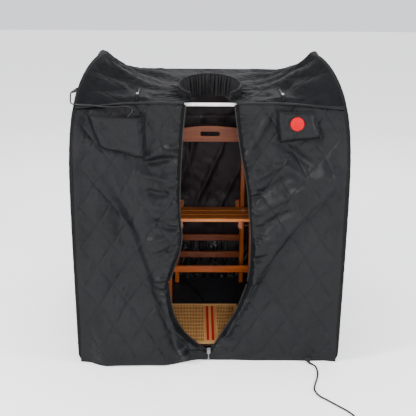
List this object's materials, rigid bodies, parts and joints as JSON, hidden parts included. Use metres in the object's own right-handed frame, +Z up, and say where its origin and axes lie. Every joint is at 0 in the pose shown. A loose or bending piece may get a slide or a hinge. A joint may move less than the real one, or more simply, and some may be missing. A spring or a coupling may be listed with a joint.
{
  "type": "portable sauna tent",
  "caption": "Soft one-person sauna tent with a neck opening and open front flaps, a folding wooden chair, a slatted foot mat, a corded handset and a mains lead.",
  "frame": {"origin": "middle of the tent's footprint, on the ground", "axes": "+Z up, +X towards the tent's right as seen from the front, the front opening faces -Y"},
  "size_m": [1.0078, 1.269, 1.0026],
  "materials": {
    "quilted_cloth": "black diamond-quilted woven nylon with a slight sheen",
    "collar_cloth": "gathered black knit collar",
    "floor_cloth": "dark coated woven ground sheet",
    "heater_cloth": "dark plum satin lining over a radiant heater pad",
    "binding": "black woven binding sleeve over the spring hoop",
    "white_rod": "white coated tube",
    "badge_cloth": "plain red sewn patch",
    "zip_metal": "dark nickel die-cast",
    "handset_plastic": "fine spark-textured black plastic",
    "button_rubber": "grey silicone keys",
    "display_window": "smoked display window",
    "bamboo": "honey bamboo strips, satin lacquer",
    "pad_rubber": "black heating pad cover",
    "bolt_steel": "zinc plated",
    "varnished_wood": "orange-brown varnished hardwood, satin",
    "moulded_black": "moulded soft black",
    "cord_jacket": "smooth black PVC jacket",
    "plug_plastic": "moulded black with plated blades",
    "tie_cloth": "black hook-and-loop tape"
  },
  "bodies": {
    "root": {"back_panel": "quilted_cloth", "cable_connector": "moulded_black", "chair_back_slat": "varnished_wood", "chair_post_left": "varnished_wood", "chair_post_right": "varnished_wood", "chair_rear_rail_lower": "varnished_wood", "chair_rear_rail_upper": "varnished_wood", "coil_tie": "tie_cloth", "cord_grommet": "moulded_black", "floor_sheet": "floor_cloth", "front_panel_left": "quilted_cloth", "front_panel_right": "quilted_cloth", "front_rod": "white_rod", "handset_cable": "cord_jacket", "handset_case": "handset_plastic", "handset_display": "display_window", "heater_back": "heater_cloth", "heater_left": "heater_cloth", "heater_right": "heater_cloth", "hoop_left": "binding", "hoop_right": "binding", "mains_plug": "plug_plastic", "mat_heating_pad": "pad_rubber", "mat_lead": "cord_jacket", "mat_lead_socket": "moulded_black", "mat_slatted_top": "bamboo", "neck_collar": "collar_cloth", "pocket_badge": "badge_cloth", "pocket_left": "quilted_cloth", "pocket_right": "quilted_cloth", "power_cord": "cord_jacket", "power_cord_coil": "cord_jacket", "rear_rod": "white_rod", "seat_pivot_bolt_left": "bolt_steel", "seat_pivot_bolt_right": "bolt_steel", "side_panel_left": "quilted_cloth", "side_panel_right": "quilted_cloth", "top_panel_left": "quilted_cloth", "top_panel_rear": "quilted_cloth", "top_panel_right": "quilted_cloth", "zip_slider": "zip_metal"},
    "front_flap_left": {"front_flap_left": "quilted_cloth"},
    "front_flap_right": {"front_flap_right": "quilted_cloth"},
    "zip_pull": {"zip_pull": "zip_metal"},
    "arm_zip_slider_left": {"arm_zip_slider_left": "zip_metal"},
    "arm_zip_slider_right": {"arm_zip_slider_right": "zip_metal"},
    "chair_seat": {"chair_seat_rail_left": "varnished_wood", "chair_seat_rail_right": "varnished_wood", "chair_seat_slat_front": "varnished_wood", "chair_seat_slat_middle": "varnished_wood", "chair_seat_slat_rear": "varnished_wood", "leg_pivot_bolt_left": "bolt_steel", "leg_pivot_bolt_right": "bolt_steel"},
    "chair_front_legs": {"chair_leg_left": "varnished_wood", "chair_leg_right": "varnished_wood", "chair_front_stretcher": "varnished_wood"},
    "button_power": {"button_power": "button_rubber"},
    "button_minus": {"button_minus": "button_rubber"},
    "button_plus": {"button_plus": "button_rubber"}
  },
  "joints": [
    {"name": "left_flap_fold", "type": "hinge", "parent": "root", "child": "front_flap_left", "pos_m": [-0.14222, -0.35033, 0.27762], "axis": [0.1033, -0.0632, -0.9926], "range_deg": [0, 95]},
    {"name": "right_flap_fold", "type": "hinge", "parent": "root", "child": "front_flap_right", "pos_m": [0.14222, -0.35033, 0.27762], "axis": [0.1033, 0.0632, 0.9926], "range_deg": [0, 95]},
    {"name": "zip_pull_swing", "type": "hinge", "parent": "root", "child": "zip_pull", "pos_m": [0, -0.3758, 0.041], "axis": [-1, 0, 0], "range_deg": [0, 160]},
    {"name": "arm_zip_left_travel", "type": "slide", "parent": "root", "child": "arm_zip_slider_left", "axis": [0, 1, 0], "range_m": [0, 0.085]},
    {"name": "arm_zip_right_travel", "type": "slide", "parent": "root", "child": "arm_zip_slider_right", "axis": [0, 1, 0], "range_m": [0, 0.085]},
    {"name": "chair_seat_fold", "type": "hinge", "parent": "root", "child": "chair_seat", "pos_m": [0.011, 0.311, 0.3524], "axis": [-1, 0, 0], "range_deg": [0, 81]},
    {"name": "chair_legs_tuck", "type": "hinge", "parent": "chair_seat", "child": "chair_front_legs", "pos_m": [0.011, 0.06757, 0.33854], "axis": [-1, 0, 0], "range_deg": [-77, 0]},
    {"name": "button_power_press", "type": "slide", "parent": "root", "child": "button_power", "axis": [0, 1, 0], "range_m": [0, 0.0012], "stiffness_N_per_m": 300},
    {"name": "button_minus_press", "type": "slide", "parent": "root", "child": "button_minus", "axis": [0, 1, 0], "range_m": [0, 0.0012], "stiffness_N_per_m": 300},
    {"name": "button_plus_press", "type": "slide", "parent": "root", "child": "button_plus", "axis": [0, 1, 0], "range_m": [0, 0.0012], "stiffness_N_per_m": 300}
  ],
  "couplings": [
    {"joint": "chair_legs_tuck", "follows": "chair_seat_fold", "ratio": -0.95}
  ]
}
